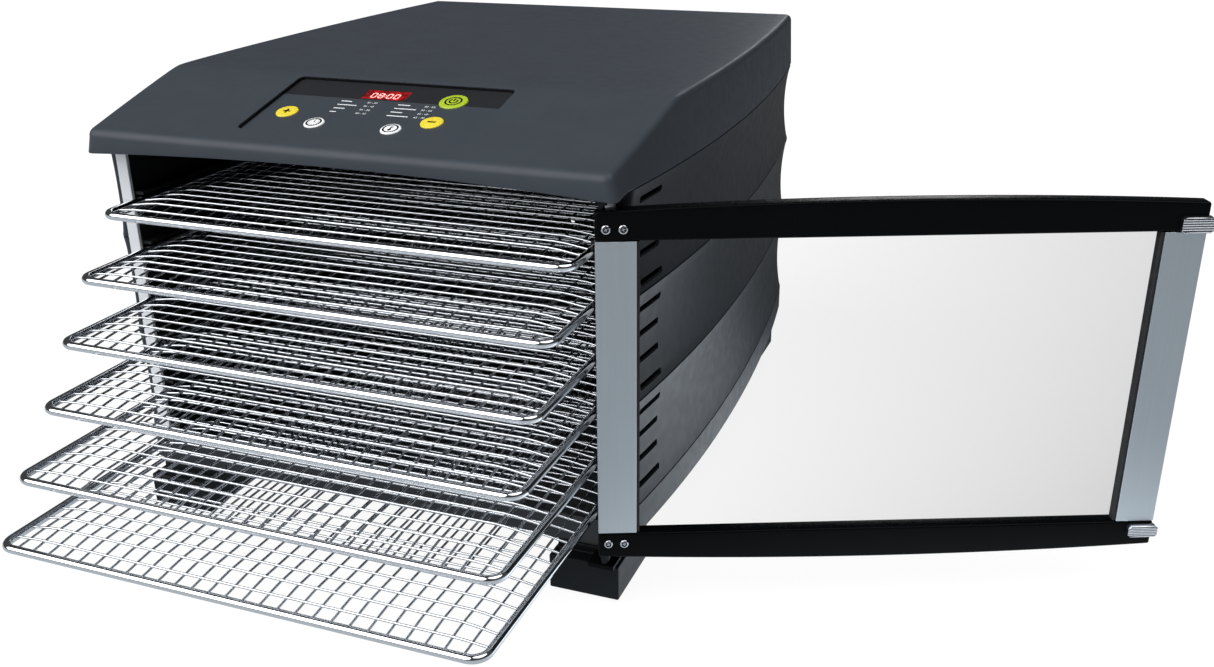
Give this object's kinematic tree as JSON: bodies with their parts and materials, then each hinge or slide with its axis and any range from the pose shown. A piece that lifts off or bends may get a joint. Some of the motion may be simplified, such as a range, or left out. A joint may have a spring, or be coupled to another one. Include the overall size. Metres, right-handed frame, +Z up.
{
  "type": "food dehydrator",
  "caption": "Tabletop food dehydrator with bowed slatted walls, a side-hinged glass door, sliding wire trays, a sloped control panel and a rear fan and heater.",
  "frame": {"origin": "bottom centre of the bounding box with the door open and the trays part out", "axes": "+X to the right seen from the front, -Y out of the front, +Z up"},
  "size_m": [0.6746, 0.601, 0.3018],
  "materials": {
    "hood_plastic": "satin fine-grained slate grey",
    "wall_plastic": "satin slate grey",
    "panel_plastic": "satin slate grey with a darker band",
    "black_trim": "gloss black",
    "foot_plastic": "black",
    "rubber": "black rubber",
    "chrome": "bright chromed steel",
    "satin_aluminium": "satin anodised",
    "bright_aluminium": "bright",
    "inner_plastic": "dark grey",
    "sheet_steel": "plain sheet steel",
    "glass": "clear",
    "display_red": "red translucent window",
    "circuit_board": "green laminate",
    "motor_steel": "motor can",
    "heater_steel": "oxidised tube",
    "button_green": "green",
    "button_yellow": "yellow",
    "button_white": "white"
  },
  "bodies": {
    "body": {"base_pan": "inner_plastic", "cable_gland": "rubber", "ceiling_panel": "inner_plastic", "control_board": "circuit_board", "control_panel": "panel_plastic", "display_module": "black_trim", "display_window": "display_red", "fan_duct": "sheet_steel", "fan_motor": "motor_steel", "foot_front_left": "foot_plastic", "foot_front_right": "foot_plastic", "foot_rear_left": "foot_plastic", "foot_rear_right": "foot_plastic", "front_post_left": "bright_aluminium", "front_post_right": "bright_aluminium", "heater_element": "heater_steel", "hinge_bracket": "black_trim", "hood": "hood_plastic", "motor_bracket": "sheet_steel", "pad_front_left": "rubber", "pad_front_right": "rubber", "pad_rear_left": "rubber", "pad_rear_right": "rubber", "rear_baffle": "sheet_steel", "rear_cover": "inner_plastic", "side_liner_left": "inner_plastic", "side_liner_right": "inner_plastic", "side_wall_left": "wall_plastic", "side_wall_right": "wall_plastic", "thermal_cutout": "button_white"},
    "door": {"door_catch_bottom": "bright_aluminium", "door_catch_top": "bright_aluminium", "door_glass": "glass", "door_rail_bottom": "black_trim", "door_rail_top": "black_trim", "door_screw_bottom_1": "chrome", "door_screw_bottom_2": "chrome", "door_screw_top_1": "chrome", "door_screw_top_2": "chrome", "door_strip_free": "satin_aluminium", "door_strip_hinge": "satin_aluminium", "hinge_pin_bottom": "chrome", "hinge_pin_top": "chrome"},
    "tray_1": {"tray_1": "chrome"},
    "tray_2": {"tray_2": "chrome"},
    "tray_3": {"tray_3": "chrome"},
    "tray_4": {"tray_4": "chrome"},
    "tray_5": {"tray_5": "chrome"},
    "tray_6": {"tray_6": "chrome"},
    "power_button": {"power_button": "button_green"},
    "minus_button": {"minus_button": "button_yellow"},
    "plus_button": {"plus_button": "button_yellow"},
    "timer_button": {"timer_button": "button_white"},
    "temperature_button": {"temperature_button": "button_white"},
    "fan": {"fan_impeller": "sheet_steel"}
  },
  "joints": [
    {"name": "door_hinge", "type": "hinge", "parent": "body", "child": "door", "pos_m": [0.02156, -0.15255, 0.15], "axis": [0, 0, 1], "range_deg": [-111, 2]},
    {"name": "tray_1_slide", "type": "slide", "parent": "body", "child": "tray_1", "axis": [0, -1, 0], "range_m": [-0.0351, 0.2149]},
    {"name": "tray_2_slide", "type": "slide", "parent": "body", "child": "tray_2", "axis": [0, -1, 0], "range_m": [-0.0629, 0.1871]},
    {"name": "tray_3_slide", "type": "slide", "parent": "body", "child": "tray_3", "axis": [0, -1, 0], "range_m": [-0.0867, 0.1633]},
    {"name": "tray_4_slide", "type": "slide", "parent": "body", "child": "tray_4", "axis": [0, -1, 0], "range_m": [-0.1092, 0.1408]},
    {"name": "tray_5_slide", "type": "slide", "parent": "body", "child": "tray_5", "axis": [0, -1, 0], "range_m": [-0.1368, 0.1132]},
    {"name": "tray_6_slide", "type": "slide", "parent": "body", "child": "tray_6", "axis": [0, -1, 0], "range_m": [-0.1582, 0.0918]},
    {"name": "power_button_press", "type": "slide", "parent": "body", "child": "power_button", "axis": [0, 0.2514, -0.9679], "range_m": [0, 0.0008], "stiffness_N_per_m": 1500, "springref_m": -0.0004},
    {"name": "minus_button_press", "type": "slide", "parent": "body", "child": "minus_button", "axis": [0, 0.2514, -0.9679], "range_m": [0, 0.0008], "stiffness_N_per_m": 1500, "springref_m": -0.0004},
    {"name": "plus_button_press", "type": "slide", "parent": "body", "child": "plus_button", "axis": [0, 0.2514, -0.9679], "range_m": [0, 0.0008], "stiffness_N_per_m": 1500, "springref_m": -0.0004},
    {"name": "timer_button_press", "type": "slide", "parent": "body", "child": "timer_button", "axis": [0, 0.2514, -0.9679], "range_m": [0, 0.0008], "stiffness_N_per_m": 1500, "springref_m": -0.0004},
    {"name": "temperature_button_press", "type": "slide", "parent": "body", "child": "temperature_button", "axis": [0, 0.2514, -0.9679], "range_m": [0, 0.0008], "stiffness_N_per_m": 1500, "springref_m": -0.0004},
    {"name": "fan_spin", "type": "hinge", "parent": "body", "child": "fan", "pos_m": [-0.14629, 0.20775, 0.15205], "axis": [0, 1, 0], "continuous": true}
  ]
}
